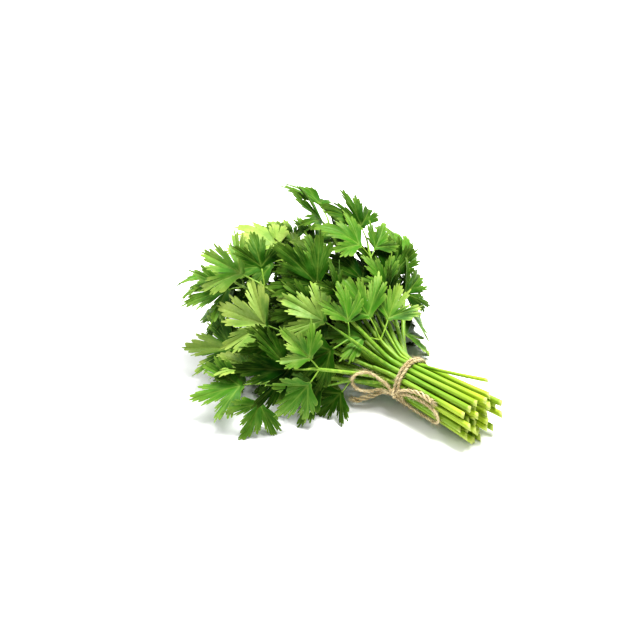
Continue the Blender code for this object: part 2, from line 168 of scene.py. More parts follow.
def stemRoute(index, place, lengthShare, sway, rng):
    u, v = place
    across = (head["farFan"] if u > 0 else head["fan"]) * u + rng.uniform(-sway, sway)
    rise = head["tilt"] + head["rise"] * v + rng.uniform(-sway, sway)
    flat = math.cos(rise)
    towards = Vector((-math.cos(across) * flat, math.sin(across) * flat, math.sin(rise)))
    bundle = stems["rings"] * stems["pitch"]
    tie = Vector((0, u * bundle, stems["tieHeight"] + v * bundle))
    far = reachTowards(across, rise) - blades["rachis"] - 0.75 * blades["reach"]
    fork = Vector((0, 0, stems["tieHeight"])) + towards * far * lengthShare
    fork.z = max(fork.z, head["lowestFork"])
    droop = rng.uniform(-0.1, 0.14) if v > 0 else rng.uniform(0, 0.24)
    heading = (towards - Vector((0, 0, droop))).normalized()
    leave = tie - Vector((stems["tieHalf"], 0, 0))
    span = (fork - leave).length
    control = (leave, leave - Vector((0.2 * span, 0, 0)), fork - heading * 0.35 * span, fork)

    stray = index == stems["stray"]
    thin = stems["strayShare"] if stray else 1
    flare = stems["strayFlare"] if stray else stems["cutFlare"] + rng.uniform(-0.025, 0.025)
    cutX = stems["cutLength"] + rng.uniform(-1, 1) * stems["cutSpread"]
    cut = Vector((cutX, u * bundle * flare, stems["cutHeight"] + v * bundle * flare))
    if v < stems["lowestShare"]:
        cut.z = stems["radiusCut"] - stems["seatBite"]
    middle = Vector((cutX * 0.55, lerp(tie.y, cut.y, 0.42), lerp(tie.z, cut.z, 0.48)))
    line = [
        (cut, stems["radiusCut"] * thin),
        (middle, lerp(stems["radiusTie"], stems["radiusCut"], 0.5) * thin),
        (tie + Vector((stems["tieHalf"], 0, 0)), stems["radiusTie"] * thin),
    ]
    long = span > head["lowerForkSpan"]
    for t in (0, 0.2, 0.4, head["lowerFork"], 1) if long else (0, 0.3, 1):
        line.append((bezier(control, t), lerp(stems["radiusTie"], stems["radiusFork"], t) * thin))
    outward = Vector((-0.2, u, v if v > -0.4 else 0.5)) + Vector((0, 0, 0.4))
    outward += Vector((rng.uniform(-1, 1), rng.uniform(-1, 1), rng.uniform(-1, 1))) * 0.25
    forks = [{"at": fork, "axes": facing(heading, outward), "radius": line[-1][1], "last": True}]
    if long:
        at = bezier(control, head["lowerFork"])
        along = bezier(control, head["lowerFork"] + 0.05) - at
        forks.append({"at": at, "axes": facing(along, outward), "radius": line[-2][1], "last": False})
    return line, forks


def tubeShape(line, sides, grow):  # only for measuring clearance
    points, faces = [], []
    for i, (place, radius) in enumerate(line):
        ahead = line[min(i + 1, len(line) - 1)][0] - line[max(i - 1, 0)][0]
        axes = facing(ahead, Vector((0.1, 0.2, 1)))
        for k in range(sides):
            angle = math.tau * k / sides
            around = axes @ Vector((0, math.cos(angle), math.sin(angle)))
            points.append(place + around * (radius + grow))
    for i in range(len(line) - 1):
        for k in range(sides):
            a, b = i * sides + k, i * sides + (k + 1) % sides
            faces.append((a, b, b + sides, a + sides))
    return points, faces


def bladeEdge(size, rng):
    half = [(math.radians(a), r * size) for a, r in blades["half"]]
    edge = half + [(math.pi, blades["heel"] * size)] + [(-a, r) for a, r in reversed(half)]
    return [(a, r * rng.uniform(0.93, 1.05)) for a, r in edge]


def bladeShape(blade, grow):  # only for measuring clearance
    droop, fold = blade["bend"]
    middle = [blade["node"]]
    for angle, reach in blade["edge"]:
        reach += grow
        share = reach / blade["size"]
        height = blade["size"] * (fold * share * abs(math.sin(angle)) - droop * share * share)
        local = Vector((reach * math.cos(angle), reach * math.sin(angle), height))
        middle.append(blade["node"] + blade["axes"] @ local)
    lift = blade["axes"] @ Vector((0, 0, blades["thickness"] / 2 + grow))
    count = len(middle)
    points = [p + lift for p in middle] + [p - lift for p in middle]
    faces = []
    for k in range(1, count):
        after = k % (count - 1) + 1
        faces += [(0, k, after), (count, count + after, count + k), (k, k + count, after + count, after)]
    return points, faces


class Clearance:
    def __init__(self):
        self.placed = []

    def add(self, owner, shape):
        points, faces = shape
        self.placed.append((owner, BVHTree.FromPolygons(points, faces), boxOf(points)))

    def isClear(self, shape, but=None):
        points, faces = shape
        tree = BVHTree.FromPolygons(points, faces)
        low, high = boxOf(points)
        for owner, other, (otherLow, otherHigh) in self.placed:
            if owner == but:
                continue
            if any(low[k] > otherHigh[k] or high[k] < otherLow[k] for k in range(3)):
                continue
            if tree.overlap(other):
                return False
        return True


def placeBlade(owner, fork, side, clearance, rng):
    at, axes = fork["at"], fork["axes"]
    forward, up = axes.col[0], axes.col[2]
    reach, stalkLength = blades["reach"], blades["rachis"]
    if side != 0:
        reach, stalkLength = blades["sideReach"], blades["sideStalk"]
    if not fork["last"]:
        stalkLength = blades["lowerStalk"]
    own = owner + " stem"
    for attempt in range(head["tries"]):
        wild = attempt / head["tries"]
        shrink = 1 - 0.35 * max(0, wild - 0.25)
        swing = side * rng.uniform(42, 64) + rng.uniform(-1, 1) * 26 * wild
        lift = rng.uniform(-10, 12) + rng.uniform(-1, 1) * 34 * wild
        heading = turned(forward, up, swing)
        heading = turned(heading, up.cross(heading).normalized(), -lift)
        roll = rng.uniform(-1, 1) * (14 + 40 * wild) - side * 10
        normal = turned(up, heading, roll)
        long = stalkLength * rng.uniform(0.8, 1.2) * shrink
        size = reach * rng.uniform(0.86, 1.08) * shrink
        bladeAxes = facing(turned(heading, normal.cross(heading).normalized(), rng.uniform(0, 14)), normal)
        bend = (rng.uniform(0.05, 0.34), rng.uniform(-0.05, 0.3))
        edge = bladeEdge(size, rng)
        blade = {"node": at + heading * long, "axes": bladeAxes, "size": size, "edge": edge, "bend": bend}
        lowest = min(p.z for p in bladeShape(blade, 0)[0])
        if 0 < lowest < blades["low"]:
            blade["node"] = blade["node"] - Vector((0, 0, lowest + blades["bite"]))
        if min(p.z for p in bladeShape(blade, 0)[0]) < -2 * blades["bite"]:
            continue
        start = fork["radius"] if side == 0 else stems["stalkRadius"]
        inside = blade["node"] - bladeAxes.col[0] * size * 0.06
        middle = lerp(at, blade["node"], 0.5) + up * long * 0.05
        tip = stems["radiusTip"]
        stalk = [(at, start), (middle, lerp(start, tip, 0.5)), (inside, tip)]
        wideStalk = tubeShape(stalk, 4, blades["gap"])
        if min(p.z for p in wideStalk[0]) < 0:
            continue
        if clearance.isClear(bladeShape(blade, blades["gap"]), own) and clearance.isClear(wideStalk, own):
            clearance.add(owner, bladeShape(blade, 0))
            clearance.add(own, tubeShape(stalk, 4, 0))
            return {"stalk": stalk, "blade": blade, "side": side, "last": fork["last"]}
    return None


def outsideOfStems(lines, x, angle, lift=0):
    towards = Vector((0, -math.sin(math.radians(angle)), math.cos(math.radians(angle))))
    middle = Vector((x, 0, lerp(stems["tieHeight"], stems["cutHeight"], max(0, x) / stems["cutLength"])))
    out = 0
    for line in lines:
        for (a, radiusA), (b, radiusB) in zip(line, line[1:]):
            if b.x <= x <= a.x:
                t = (a.x - x) / (a.x - b.x)
                slant = (a - b).length / (a.x - b.x)
                out = max(out, (lerp(a, b, t) - middle).dot(towards) + lerp(radiusA, radiusB, t) * slant)
    return middle + towards * (out + twine["gap"] + twine["radius"] + lift)


def through(stops, t):  # a smooth curve through the stops, t counts them
    k = min(int(t), len(stops) - 2)
    t -= k
    a, b, c, d = (Vector(stops[min(max(k + n, 0), len(stops) - 1)]) for n in (-1, 0, 1, 2))
    return 0.5 * (2 * b + (c - a) * t + (2 * a - 5 * b + 4 * c - d) * t**2 + (3 * b - a - 3 * c + d) * t**3)


def gonePast(places):  # the length along a line up to each of its places
    gone = [0.0]
    for a, b in zip(places, places[1:]):
        gone.append(gone[-1] + (b - a).length)
    return gone


def bowLine(lines, stops, lift):
    fine = []
    for n in range(20 * (len(stops) - 1) + 1):
        x, angle = through(stops, n / 20)
        fine.append(outsideOfStems(lines, twine["tieAt"] + x * mm, angle, lift))
    gone = gonePast(fine)
    count = max(4, round(gone[-1] / twine["step"]))
    line = []
    for n in range(count + 1):
        k = max(i for i, g in enumerate(gone) if g <= gone[-1] * n / count + 1e-9)
        line.append((fine[k], twine["radius"]))
    return line


def growBunch():
    clearance = Clearance()
    sprigs = []
    for index, place in enumerate(stemPlaces()):
        ring = round(stems["rings"] * math.hypot(*place))
        share = lerp(head["shortest"][ring], 1.0, (index * 0.618034) % 1.0)
        name = f"sprig_{index + 1:02d}"
        rng = random.Random(f"{head['seed']} {name}")
        for attempt in range(head["tries"]):
            wild = attempt / head["tries"]
            line, forks = stemRoute(index, place, share * (1 - 0.4 * wild), 0.05 + 0.12 * wild, rng)
            if clearance.isClear(tubeShape(line, 6, stems["gap"])):
                break
        else:
            continue
        clearance.add(name + " stem", tubeShape(line, 6, 0))
        sprigs.append({"name": name, "line": line, "forks": forks, "leaves": []})

    lines = [sprig["line"] for sprig in sprigs]
    degrees = [360 * k / twine["turnPoints"] for k in range(twine["turnPoints"])]
    turns = []
    for offset in twine["turnOffsets"]:
        x = twine["tieAt"] + offset
        turns.append([(outsideOfStems(lines, x, angle), twine["radius"]) for angle in degrees])
    bow = {}
    for name, stops in twine["bow"].items():
        lift = 0
        while not clearance.isClear(tubeShape(bowLine(lines, stops, lift), 8, twine["gap"])):
            lift += 0.2 * mm
        bow[name] = bowLine(lines, stops, lift)
    for line in [turn + turn[:1] for turn in turns] + list(bow.values()):
        clearance.add("twine", tubeShape(line, 8, 0))
    sight = [(twine["viewFrom"], twine["viewWidth"]), (twine["viewTo"], twine["viewWidth"])]
    clearance.add("twine", tubeShape(sight, 8, 0))

    for last, side in ((True, 0), (True, 1), (True, -1), (False, 1), (False, -1)):
        for sprig in sprigs:
            rng = random.Random(f"{head['seed']} {sprig['name']} {last} {side}")
            for fork in [one for one in sprig["forks"] if one["last"] == last]:
                leaf = placeBlade(sprig["name"], fork, side, clearance, rng)
                if leaf:
                    sprig["leaves"].append(leaf)
    return sprigs, turns, bow


sprigs, turns, bow = growBunch()
print("grown:", len(sprigs), "sprigs,", sum(len(s["leaves"]) for s in sprigs), "leaves")


def gridOf(mesh, across, along):  # a flat grid to roll or spread, as rows of verts
    made = bmesh.ops.create_grid(mesh, x_segments=across, y_segments=along, size=0.5)
    rows = [[None] * (along + 1) for _ in range(across + 1)]
    for vert in made["verts"]:
        rows[round((vert.co.x + 0.5) * across)][round((vert.co.y + 0.5) * along)] = vert
    return rows


def smoothLine(points, step, closed=False):
    # From (place, radius) stops to evenly spaced ones on a smooth curve through them, and its length
    stops = [Vector((*place, radius)) for place, radius in points]
    if closed:
        stops = stops[-1:] + stops + stops[:2]
    fine = []
    first, last = (1, len(stops) - 2) if closed else (0, len(stops) - 1)
    for k in range(first, last):
        fine += [through(stops, k + n / 12) for n in range(12)]
    fine.append(through(stops, last - 1e-6))
    gone = gonePast([place.to_3d() for place in fine])
    count = max(3, round(gone[-1] / step))
    line, k = [], 0
    for n in range(count + 1):
        want = gone[-1] * n / count
        while k < len(gone) - 2 and gone[k + 1] < want:
            k += 1
        t = (want - gone[k]) / max(gone[k + 1] - gone[k], 1e-9)
        p = lerp(fine[k], fine[k + 1], min(t, 1))
        line.append((p.to_3d(), p.w))
    return line, gone[-1]


def framesAlong(places, start=Vector((0.1, 0.2, 1))):  # axes carried along a line without twist
    frames = []
    normal = start
    for i in range(len(places)):
        ahead = (places[min(i + 1, len(places) - 1)] - places[max(i - 1, 0)]).normalized()
        normal = (normal - ahead * normal.dot(ahead)).normalized()
        frames.append((ahead, normal, ahead.cross(normal)))
    return frames


def spoke(frame, angle):  # the way out from a line at an angle round it
    _, side, up = frame
    return side * math.cos(angle) + up * math.sin(angle)


def rollTube(mesh, line, around, runFrom=0.0):
    # Rolls a grid round the line and closes its seam; UV is (millimetres along, turn)
    rows = gridOf(mesh, len(line) - 1, around)
    places = [place for place, _ in line]
    frames, gone = framesAlong(places), gonePast(places)
    uv = mesh.loops.layers.uv.verify()
    where = {}
    for i, (place, radius) in enumerate(line):
        for j, vert in enumerate(rows[i]):
            vert.co = place + spoke(frames[i], math.tau * j / around) * radius
            where[vert] = ((runFrom + gone[i]) / mm, j / around)
    for face in {face for vert in where for face in vert.link_faces}:
        for loop in face.loops:
            loop[uv].uv = where[loop.vert]
    closeSeam(mesh, rows)


def closeSeam(mesh, rows):
    bmesh.ops.remove_doubles(mesh, verts=[row[k] for row in rows for k in (0, -1)], dist=1e-7)


def closeEnds(mesh):
    rims = [edge for edge in mesh.edges if edge.is_boundary]
    if rims:
        bmesh.ops.holes_fill(mesh, edges=rims)


def floatLayers(mesh, *names):
    return {name: mesh.verts.layers.float.new(name) for name in names}


def mark(vert, layers, **values):
    for name, value in values.items():
        vert[layers[name]] = value


def meshData(mesh, name):
    data = bpy.data.meshes.new(name)
    mesh.to_mesh(data)
    mesh.free()
    return data


def finishPiece(name, mesh, material, nodes=()):
    bmesh.ops.recalc_face_normals(mesh, faces=mesh.faces)
    bmesh.ops.translate(mesh, verts=mesh.verts, vec=-boxMiddle)
    for face in mesh.faces:
        face.smooth = True
    piece = addObject(name, meshData(mesh, name))
    piece.data.materials.append(material)
    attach(piece, "root")
    if nodes:
        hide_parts(*nodes)
    return piece


def newMaterial(name):
    made = bpy.data.materials.new(name)
    made.use_nodes = True
    tree = made.node_tree
    tree.nodes.clear()
    output = tree.nodes.new("ShaderNodeOutputMaterial")
    shader = tree.nodes.new("ShaderNodeBsdfPrincipled")
    tree.links.new(shader.outputs["BSDF"], output.inputs["Surface"])
    return made, tree, shader, output


def feed(tree, node, values):  # each socket gets another node's output, a colour, a vector or a number
    for key, value in values.items():
        socket = node.inputs[key]
        if isinstance(value, bpy.types.NodeSocket):
            tree.links.new(value, socket)
        elif socket.type == "RGBA":
            socket.default_value = (*value, 1)
        else:
            socket.default_value = value


def addNode(tree, kind, values, output=0, **settings):
    node = tree.nodes.new("ShaderNode" + kind)
    for key, value in settings.items():
        setattr(node, key, value)
    feed(tree, node, values)
    return node.outputs[output]


def mixColour(tree, factor, a, b, blend="MIX"):
    return addNode(tree, "Mix", {0: factor, 6: a, 7: b}, 2, data_type="RGBA", blend_type=blend)


def mapRange(tree, value, low, high, toLow=0.0, toHigh=1.0):
    values = {"Value": value, "From Min": low, "From Max": high, "To Min": toLow, "To Max": toHigh}
    return addNode(tree, "MapRange", values)


def shift(tree, value, low, high, a, b, most=1.0):  # from colour a to b as the value goes from low to high
    return mixColour(tree, mapRange(tree, value, low, high, 0, most), a, b)


def mathNode(tree, operation, a, b):
    return addNode(tree, "Math", {0: a, 1: b}, operation=operation)


def attribute(tree, name):
    return addNode(tree, "Attribute", {}, "Fac", attribute_name=name)


def noise(tree, scale, detail=3.0, roughness=0.5, stretch=(1, 1, 1), where=("TexCoord", "Object")):
    kind, output = where
    vector = addNode(tree, "Mapping", {"Vector": addNode(tree, kind, {}, output), "Scale": stretch})
    values = {"Scale": scale, "Detail": detail, "Roughness": roughness, "Vector": vector}
    return addNode(tree, "TexNoise", values, "Fac")


def bump(tree, height, strength, distance):
    return addNode(tree, "Bump", {"Height": height, "Strength": strength, "Distance": distance}, "Normal")


def paintedShadeGroup():
    # Painted shade: turns a colour towards the deep green by how little of the sky the place is open to
    group = bpy.data.node_groups.new("paintedShade", "ShaderNodeTree")
    for name in ("Colour", "Deep", "Open", "Shaded", "Clear", "Most"):
        kind = "NodeSocketColor" if name in ("Colour", "Deep") else "NodeSocketFloat"
        group.interface.new_socket(name=name, in_out="INPUT", socket_type=kind)
    group.interface.new_socket(name="Colour", in_out="OUTPUT", socket_type="NodeSocketColor")
    given = group.nodes.new("NodeGroupInput").outputs
    share = mapRange(group, given["Open"], given["Shaded"], given["Clear"], given["Most"], 0)
    mixed = mixColour(group, share, given["Colour"], given["Deep"])
    group.links.new(mixed, group.nodes.new("NodeGroupOutput").inputs["Colour"])
    return group


def paintedShade(tree, colour, opened, shaded, clear, most):
    values = {"Colour": colour, "Deep": leafLook["deep"], "Open": opened}
    values.update({"Shaded": shaded, "Clear": clear, "Most": most})
    return addNode(tree, "Group", values, "Colour", node_tree=paintedShadeTree)


leafLook = {
    "thickness": 0.34 * mm, "samples": 3, "rows": 7, "rowPower": 0.85, "floorGap": 0.25 * mm, "crease": 1.0,
    "vein": 0.30 * mm, "veinDepth": 0.26 * mm, "sideVein": 0.55, "veinStarts": (0.52, 0.34),
    "fold": (0.04, 0.22), "twist": 0.11, "curl": (-0.32, 0.10), "curlFrom": 0.45,
    "waves": ((0.034, 2, 4), (0.024, 2, 11), (0.020, 3, 27)),  # (height, power of the reach, how close)
    # deep is the darkest leaf tone and also the colour of the painted shade; edge is a pale rim that is partly
    # a painted highlight; glow tints light through open leaves
    "deep": (0.003, 0.024, 0.0015), "fresh": (0.062, 0.205, 0.006), "lime": (0.37, 0.485, 0.105),
    "veinColour": (0.38, 0.50, 0.10), "under": (0.17, 0.30, 0.10), "edge": (0.46, 0.56, 0.11),
    "fleck": (0.72, 0.82, 0.55), "glow": (0.40, 0.60, 0.05), "translucent": 0.14,
    "roughness": 0.52, "underRoughness": 0.64, "patches": 45, "speckle": 520, "grain": 850,
}
# Half of a leaf's edge, from its tip to its stalk. Each lobe has the reach of the cut before it, and its round
# teeth as (degrees from the middle rib, reach)
leafLobes = (
    (None, ((0, 1.05), (4.6, 0.99), (8.4, 0.88))),
    (0.50, ((13.6, 0.76), (18.2, 0.84), (22.4, 0.75), (25.6, 0.60))),
    (0.17, ((32.0, 0.52), (35.8, 0.69), (39.6, 0.75))),
    (0.46, ((45.0, 0.87), (49.2, 0.985), (53.4, 0.88))),
    (0.46, ((58.8, 0.75), (63.4, 0.81), (67.8, 0.72), (71.6, 0.57))),
)
leafHeel = ((84, 0.24, False), (112, 0.10, True), (180, 0.05, False))  # (degrees, reach, is it a tooth's tip)
toothDepth = 0.052
toothRound = 0.42  # lower is rounder
toothLean = 0.2  # moves each notch to the tooth on its rib's side, so that teeth point away from the rib
leafRibs = (-49, 49, 0)  # each leaflet's rib, in degrees from the middle one
leafletHalf = 25


def leafKeys():
    # The whole edge as (degrees, reach, is it a tooth's tip), with the cuts and notches in between
    half = []
    for cut, teeth in leafLobes:
        for n, (angle, reach) in enumerate(teeth):
            if half:
                lastAngle, lastReach, _ = half[-1]
                notch = min(lastReach, reach) - toothDepth
                inward = leafletHalf < (lastAngle + angle) / 2 < leafRibs[1]
                share = 0.5 + toothLean if inward else 0.5 - toothLean
                if n == 0:
                    share, notch = 0.5, cut
                half.append((lerp(lastAngle, angle, share), notch, False))
            half.append((angle, reach, True))
    half += leafHeel
    return [(-a, r, tip) for a, r, tip in reversed(half[1:])] + half


def leafPattern():
    # A flat leaf: a grid's rows spread round the stalk, joined there and at the heel
    steps = (len(leafKeys()) - 1) * leafLook["samples"]
    mesh = bmesh.new()
    layers = floatLayers(mesh, "around", "out")
    for i, row in enumerate(gridOf(mesh, steps, leafLook["rows"])):
        for j, vert in enumerate(row):
            share = (j / leafLook["rows"]) ** leafLook["rowPower"]
            angle = math.tau * i / steps
            mark(vert, layers, around=i / steps, out=share)
            vert.co = (share * math.cos(angle), share * math.sin(angle), 0)
    bmesh.ops.remove_doubles(mesh, verts=mesh.verts, dist=1e-6)
    values = {name: np.array([vert[layer] for vert in mesh.verts]) for name, layer in layers.items()}
    return meshData(mesh, "leaf_pattern"), values


def leafEdge(blade, values, rng):
    # The angle and reach of the edge at each vert: lobes and round teeth, on the solid blade's own outline
    keys = leafKeys()
    angles = np.array([a + rng.uniform(-0.5, 0.5) * (0 < abs(a) < 170) for a, _, _ in keys])
    cuts = [cut for cut, _ in leafLobes]
    deeper = rng.uniform(-0.10, 0.04)
    swell = [rng.uniform(-0.05, 0.05) for _ in range(9)]
    reaches = []
    for a, r, _ in keys:
        lobe = 1 + np.interp(a, np.linspace(-75, 75, 9), swell)
        reaches.append(r * lobe * rng.uniform(0.985, 1.015) + (deeper if r in cuts else 0))
    reaches = np.array(reaches)
    tips = np.array([tip for _, _, tip in keys])
    at = values["around"] * (len(keys) - 1)
    k = np.minimum(at.astype(int), len(keys) - 2)
    f = at - k
    angle = np.radians(lerp(angles[k], angles[k + 1], f))
    toTip = lerp(reaches[k], reaches[k + 1], np.sin(f * np.pi / 2) ** toothRound)
    fromTip = lerp(reaches[k + 1], reaches[k], np.sin((1 - f) * np.pi / 2) ** toothRound)
    reach = np.where(tips[k + 1] & ~tips[k], toTip, fromTip)

    half = [(math.radians(a), r) for a, r in blades["half"]]
    plain = [(-a, r) for a, r in reversed(half)] + half
    plain = [(-math.pi, blades["heel"])] + plain + [(math.pi, blades["heel"])]
    edge = [r for _, r in blade["edge"]]
    heel = len(edge) // 2
    grown = [edge[heel]] + edge[heel + 1:] + edge[:heel] + [edge[heel]]
    ratios = [g / (r * blade["size"]) for g, (_, r) in zip(grown, plain)]
    reach = reach * np.interp(angle, [a for a, _ in plain], ratios)
    return angle, reach, [(a, r) for a, r, tip in zip(angles, reaches, tips) if tip and r > 0.5]


def leafSurface(blade, values, rng):
    # Where the pattern's verts go on one blade, with its folds, waves and veins, and the vein mask
    angle, reach, tips = leafEdge(blade, values, rng)
    size = blade["size"]
    share = reach * values["out"]
    x, y = share * np.cos(angle), share * np.sin(angle)
    droop, fold = blade["bend"]
    height = fold * share * np.abs(np.sin(angle)) - droop * share**2
    # Each leaflet has its own fold, twist and curl, and waves run round the whole leaf
    degrees = np.degrees(angle)
    shares = [np.clip((sign * degrees - 23) / 9, 0, 1) for sign in (-1, 1)]
    shares.append(1 - shares[0] - shares[1])
    for weight, rib in zip(shares, leafRibs):
        fromRib = np.clip((degrees - rib) / leafletHalf, -1.2, 1.2)
        fold = rng.uniform(*leafLook["fold"]) * rng.choice((1, 1, 1, -0.6))
        twist = rng.uniform(-1, 1) * leafLook["twist"]
        curl = rng.uniform(*leafLook["curl"])
        height += weight * share * (fold * (np.abs(fromRib) - 0.45) + twist * fromRib)
        height += weight * 2 * curl * np.clip(share - leafLook["curlFrom"], 0, 1) ** 2
    for tall, power, many in leafLook["waves"]:
        height += tall * share**power * np.sin(angle * many + rng.uniform(0, 6))

    # Distance from the veins: one down each leaflet, and one from it to each tooth
    veins = [(0, 0, math.cos(math.radians(rib)), math.sin(math.radians(rib)), 1.0) for rib in leafRibs]
    for a, r in tips:
        rib = min(leafRibs, key=lambda one: abs(one - a))
        start = r * leafLook["veinStarts"][abs(a - rib) >= 9]
        bx, by = start * math.cos(math.radians(rib)), start * math.sin(math.radians(rib))
        tip = math.radians(a)
        veins.append((bx, by, r * math.cos(tip), r * math.sin(tip), leafLook["sideVein"]))
    mask = np.zeros_like(x)
    for ax, ay, bx, by, weight in veins:
        dx, dy = bx - ax, by - ay
        t = np.clip(((x - ax) * dx + (y - ay) * dy) / (dx * dx + dy * dy), 0, 1)
        away = np.hypot(x - ax - t * dx, y - ay - t * dy) * size
        wide = leafLook["vein"] * (1.5 - t) * (0.6 + 0.6 * weight)
        mask = np.maximum(mask, weight * np.exp(-((away / wide) ** 2)))
    height -= mask * leafLook["veinDepth"] / size
    return x * size, y * size, height * size, mask


def restOn(z, floor):  # eases what would go below the surface to lie on it
    soft = 1.5 * mm
    if z > floor + soft:
        return z
    return floor + soft * math.exp((z - floor - soft) / soft)


def growCover():
    # Every leaf as one coarse sheet, to tell how open a place is to the sky
    points, faces = [], []
    for sprig in sprigs:
        for leaf in sprig["leaves"]:
            more, sides = bladeShape(leaf["blade"], 0)
            faces += [tuple(k + len(points) for k in side) for side in sides]
            points += more
    return BVHTree.FromPolygons(points, faces)


def skyDirections():
    directions = [Vector((0, 0, 1))]
    for rise, count in ((62, 5), (34, 6), (10, 5)):  # degrees up from the horizon, and how many round
        flat, high = math.cos(math.radians(rise)), math.sin(math.radians(rise))
        for k in range(count):
            turn = math.tau * (k + rise / 100) / count
            directions.append(Vector((math.cos(turn) * flat, math.sin(turn) * flat, high)))
    return directions


def openness(place):
    # 1 where nothing is near in any direction, 0 where leaves close in on all sides; it sets the painted shade
    # of leaves and stems
    reach, away = 75 * mm, 2.5 * mm
    total = 0
    for direction in sky:
        gone = cover.ray_cast(place + direction * away, direction, reach)[3]
        total += 1 if gone is None else gone / reach
    return total / len(sky)


def leafOpenness(blade, angle, values):
    # Worked out at the stalk, half way out and at the edge, all round the leaf
    edge = sorted((math.remainder(a, math.tau), r) for a, r in blade["edge"])
    rings = [np.full(len(angle), openness(blade["node"]))]
    half = 0.55
    for share in (half, 1.0):
        opens = []
        for a, r in edge:
            local = Vector((r * share * math.cos(a), r * share * math.sin(a), 0))
            opens.append(openness(blade["node"] + blade["axes"] @ local))
        rings.append(np.interp(angle, [a for a, _ in edge], opens))
    out = values["out"]
    inner = lerp(rings[0], rings[1], np.clip(out / half, 0, 1))
    return lerp(inner, rings[2], np.clip((out - half) / (1 - half), 0, 1))


def addLeaf(mesh, layers, blade, pattern, rng, tone):
    data, values = pattern
    x, y, z, veins = leafSurface(blade, values, rng)
    opens = leafOpenness(blade, np.arctan2(y, x), values)
    first = len(mesh.verts)
    mesh.from_mesh(data)
    mesh.verts.ensure_lookup_table()
    under = mesh.verts[first:]
    faces = {face for vert in under for face in vert.link_faces}
    edges = {edge for face in faces for edge in face.edges}
    lift = blade["axes"] @ Vector((0, 0, leafLook["thickness"]))
    for n, vert in enumerate(under):
        vert.co = blade["node"] + blade["axes"] @ Vector((x[n], y[n], z[n])) - lift / 2
        mark(vert, layers, vein=veins[n], tone=tone, open=opens[n], under=1.0)
    raised = bmesh.ops.extrude_face_region(mesh, geom=list(faces) + list(edges), use_keep_orig=True)
    top = [item for item in raised["geom"] if isinstance(item, bmesh.types.BMVert)]
    bmesh.ops.translate(mesh, verts=top, vec=lift)
    gap = leafLook["floorGap"]
    for vert in top:
        vert[layers["under"]] = 0.0
        vert.co.z = restOn(vert.co.z, gap + abs(lift.z))
    for vert in under:
        vert.co.z = restOn(vert.co.z, gap)
    for edge in {edge for vert in under + top for edge in vert.link_edges}:
        if len(edge.link_faces) == 2 and edge.calc_face_angle(0) > leafLook["crease"]:
            edge.smooth = False


def leafMaterial():
    made, tree, shader, output = newMaterial("parsleyLeaf")
    names = ("tone", "vein", "under", "out", "open")
    tone, vein, under, out, opened = (attribute(tree, name) for name in names)
    patches = noise(tree, leafLook["patches"], 4)
    speckle = noise(tree, leafLook["speckle"])
    # The leaf's own tone and mottling, then darkened where leaves close in on it as painted shade; shade
    # carries both
    shade = mathNode(tree, "ADD", tone, mapRange(tree, patches, 0.3, 0.7, -0.16, 0.16))
    shade = mathNode(tree, "MULTIPLY", shade, mapRange(tree, opened, 0.15, 0.7, 0.2, 1.0))
    colour = shift(tree, shade, 0.0, 0.55, leafLook["deep"], leafLook["fresh"])
    colour = shift(tree, shade, 0.55, 1.0, colour, leafLook["lime"])
    # A paler rim at the leaf's edge: partly its own pale margin, partly a painted highlight, stronger on pale
    # open leaves
    rim = mathNode(tree, "POWER", out, 7.0)
    rimShare = mathNode(tree, "MULTIPLY", rim, mapRange(tree, shade, 0, 1, 0.05, 0.6))
    colour = mixColour(tree, rimShare, colour, leafLook["edge"])
    veinShare = mathNode(tree, "MULTIPLY", vein, mapRange(tree, shade, 0, 0.8, 0.16, 0.5))
    colour = mixColour(tree, veinShare, colour, leafLook["veinColour"])
    flecks = mapRange(tree, speckle, 0.38, 0.68, 0, 0.5)
    colour = mixColour(tree, flecks, colour, leafLook["fleck"], "MULTIPLY")
    # Undersides are paler, less so where the leaf is hidden, as painted shade
    pale = mathNode(tree, "MULTIPLY", under, mapRange(tree, opened, 0.1, 0.8, 0.08, 0.55))
    colour = mixColour(tree, pale, colour, leafLook["under"])
    # Painted shade where other leaves close in on this one
    colour = paintedShade(tree, colour, opened, 0.12, 0.6, 0.8)
    matt = mapRange(tree, under, 0, 1, leafLook["roughness"], leafLook["underRoughness"])
    matt = mathNode(tree, "ADD", matt, mapRange(tree, speckle, 0.3, 0.7, -0.06, 0.1))
    sheen = mapRange(tree, shade, 0.1, 0.75, 0.01, 0.36)
    grain = bump(tree, noise(tree, leafLook["grain"]), 0.35, 0.3 * mm)
    feed(tree, shader, {"Base Color": colour, "Roughness": matt, "Specular IOR Level": sheen, "Normal": grain})
    # Light through the leaf takes the pale glow colour where the leaf is open and stays darker where it is
    # hidden: painted light and shade
    glow = shift(tree, opened, 0.2, 0.8, colour, leafLook["glow"], 0.35)
    glow = addNode(tree, "BsdfTranslucent", {"Color": glow})
    both = {0: leafLook["translucent"], 1: shader.outputs["BSDF"], 2: glow}
    feed(tree, output, {"Surface": addNode(tree, "MixShader", both)})
    return made


stemLook = {
    "stem": {"step": 2.4 * mm, "around": 14, "ribs": 7, "start": 0.0, "span": 1.0},
    "stalk": {"step": 2.0 * mm, "around": 8, "ribs": 0, "start": 0.8, "span": 0.2},
    "stalkShare": 0.72, "ribDepth": 0.05, "swell": 0.04, "oval": 0.03, "lowest": 0.02 * mm, "openEvery": 5,
    "rim": 0.5 * mm, "hollow": 0.95 * mm, "hollowDepth": -0.25 * mm, "slant": 0.7, "slantSpread": 0.6,
    "cut": (0.56, 0.64, 0.17), "low": (0.38, 0.50, 0.030), "middle": (0.165, 0.33, 0.012),
    "top": (0.20, 0.35, 0.035), "deep": (0.075, 0.21, 0.008), "stripe": (0.60, 0.70, 0.13),
    "furrowShade": (0.45, 0.62, 0.3), "pith": (0.42, 0.50, 0.12), "streaks": (28, 420, 420),
}


